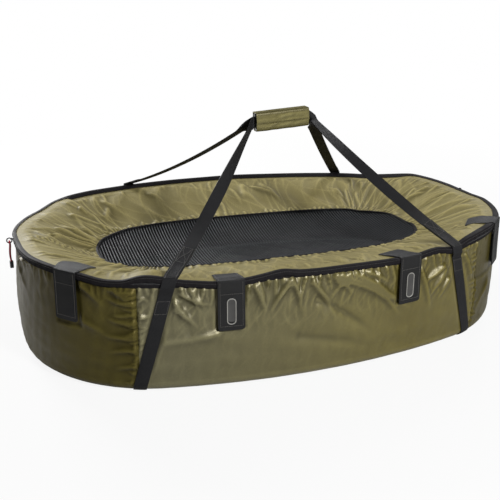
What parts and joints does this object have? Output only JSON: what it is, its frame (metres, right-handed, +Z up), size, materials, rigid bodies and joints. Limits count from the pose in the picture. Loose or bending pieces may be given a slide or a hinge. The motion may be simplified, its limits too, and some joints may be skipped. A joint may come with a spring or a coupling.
{
  "type": "walled fish unhooking mat",
  "caption": "Oval padded unhooking mat with foam walls, a hinged zipped lid with a sagging mesh window, hook-and-loop tabs and two carry straps joined in a padded grip.",
  "frame": {"origin": "on the ground under the middle of the mat", "axes": "+X along the mat to its right end, +Y from the front to the back, +Z up"},
  "size_m": [1.3398, 0.8604, 0.5511],
  "materials": {
    "olive_nylon": "coated nylon, slightly shiny",
    "khaki_nylon": "thin coated nylon, shiny",
    "black_webbing": "woven webbing, matt",
    "black_mesh": "open mesh, matt",
    "black_tape": "woven tape, matt",
    "grey_foam": "soft foam",
    "dark_liner": "wipe-clean coated cloth",
    "black_plastic": "moulded, matt",
    "black_metal": "black coated",
    "red_cord": "round cord, matt",
    "badge_rubber": "moulded, matt"
  },
  "bodies": {
    "tub": {"outer_cover_right": "olive_nylon", "wall_foam_right": "grey_foam", "outer_cover_back": "olive_nylon", "wall_foam_back": "grey_foam", "outer_cover_left": "olive_nylon", "wall_foam_left": "grey_foam", "outer_cover_front": "olive_nylon", "wall_foam_front": "grey_foam", "base_cloth": "olive_nylon", "floor_pad": "grey_foam", "inner_liner_wall": "dark_liner", "inner_liner_floor": "dark_liner", "rim_band": "black_tape", "zip_coil_tub": "black_plastic", "strap_wall_front_left": "black_webbing", "strap_wall_back_left": "black_webbing", "strap_base_left": "black_webbing", "strap_wall_front_right": "black_webbing", "strap_wall_back_right": "black_webbing", "strap_base_right": "black_webbing", "loop_patch_left_corner": "black_webbing", "loop_patch_front_left": "black_webbing", "loop_patch_front_right": "black_webbing", "loop_patch_right_end": "black_webbing"},
    "lid": {"lid_zip_tape": "black_tape", "zip_coil_lid": "black_plastic", "lid_panel_back": "khaki_nylon", "lid_panel_front": "khaki_nylon", "lid_mesh": "black_mesh", "mesh_binding": "black_tape", "zip_flap": "black_tape", "tab_root_left_corner": "black_webbing", "tab_root_front_left": "black_webbing", "tab_root_front_right": "black_webbing", "tab_root_right_end": "black_webbing"},
    "tab_left_corner": {"tab_flap_left_corner": "black_webbing", "tab_hook_left_corner": "black_webbing"},
    "tab_front_left": {"tab_flap_front_left": "black_webbing", "tab_hook_front_left": "black_webbing", "tab_badge_front_left": "badge_rubber"},
    "tab_front_right": {"tab_flap_front_right": "black_webbing", "tab_hook_front_right": "black_webbing", "tab_badge_front_right": "badge_rubber"},
    "tab_right_end": {"tab_flap_right_end": "black_webbing", "tab_hook_right_end": "black_webbing"},
    "strap_front": {"strap_leg_front_left": "black_webbing", "strap_leg_front_right": "black_webbing", "strap_run_front": "black_webbing"},
    "strap_back": {"strap_leg_back_left": "black_webbing", "strap_leg_back_right": "black_webbing", "strap_run_back": "black_webbing", "grip_cover": "khaki_nylon", "grip_pad": "grey_foam"},
    "grip_flap": {"grip_flap": "khaki_nylon"},
    "slider_left": {"zip_slider_left": "black_metal"},
    "pull_left": {"pull_ring_left": "black_metal", "pull_cord": "red_cord", "pull_cord_end": "black_plastic"},
    "slider_right": {"zip_slider_right": "black_metal"},
    "pull_right": {"pull_ring_right": "black_metal"}
  },
  "joints": [
    {"name": "lid_open", "type": "hinge", "parent": "tub", "child": "lid", "pos_m": [0, 0.4293, 0.26615], "axis": [-1, 0, 0], "range_deg": [0, 110], "deforming": ["grip_cover", "grip_pad", "grip_flap"]},
    {"name": "strap_front_swing", "type": "hinge", "parent": "tub", "child": "strap_front", "pos_m": [-0.009, -0.38362, 0.229], "axis": [1, -0.0058, 0], "range_deg": [0, 160], "deforming": ["strap_leg_front_left", "strap_leg_front_right", "strap_run_front"]},
    {"name": "strap_back_swing", "type": "hinge", "parent": "tub", "child": "strap_back", "pos_m": [0.06353, 0.38729, 0.229], "axis": [-0.9991, 0.042, 0], "range_deg": [0, 160], "deforming": ["strap_leg_back_left", "strap_leg_back_right", "strap_run_back"]},
    {"name": "grip_flap_open", "type": "hinge", "parent": "strap_back", "child": "grip_flap", "pos_m": [0.05093, 0.0135, 0.54613], "axis": [-0.999, 0, -0.0454], "range_deg": [0, 150]},
    {"name": "tab_left_corner_lift", "type": "hinge", "parent": "lid", "child": "tab_left_corner", "pos_m": [-0.57208, -0.27002, 0.27155], "axis": [-0.6445, 0.7646, 0], "range_deg": [0, 170]},
    {"name": "tab_front_left_lift", "type": "hinge", "parent": "lid", "child": "tab_front_left", "pos_m": [-0.23632, -0.41585, 0.27155], "axis": [-0.989, 0.1478, 0], "range_deg": [0, 170]},
    {"name": "tab_front_right_lift", "type": "hinge", "parent": "lid", "child": "tab_front_right", "pos_m": [0.21021, -0.41953, 0.27155], "axis": [-0.9913, -0.1314, 0], "range_deg": [0, 170]},
    {"name": "tab_right_end_lift", "type": "hinge", "parent": "lid", "child": "tab_right_end", "pos_m": [0.53893, -0.30438, 0.27155], "axis": [-0.7409, -0.6717, 0], "range_deg": [0, 170]},
    {"name": "slider_left_run", "type": "hinge", "parent": "tub", "child": "slider_left", "pos_m": [0.6295, 0, 0.266], "axis": [0, 0, -1], "range_deg": [-1.1, 1.3]},
    {"name": "pull_left_lift", "type": "hinge", "parent": "slider_left", "child": "pull_left", "pos_m": [-0.65749, 0.02012, 0.266], "axis": [0.0156, 0.9999, 0], "range_deg": [0, 70]},
    {"name": "slider_right_run", "type": "hinge", "parent": "tub", "child": "slider_right", "pos_m": [-0.6295, 0, 0.266], "axis": [0, 0, 1], "range_deg": [-1.1, 1.3]},
    {"name": "pull_right_lift", "type": "hinge", "parent": "slider_right", "child": "pull_right", "pos_m": [0.65749, 0.02012, 0.266], "axis": [0.0156, -0.9999, 0], "range_deg": [0, 70]}
  ]
}
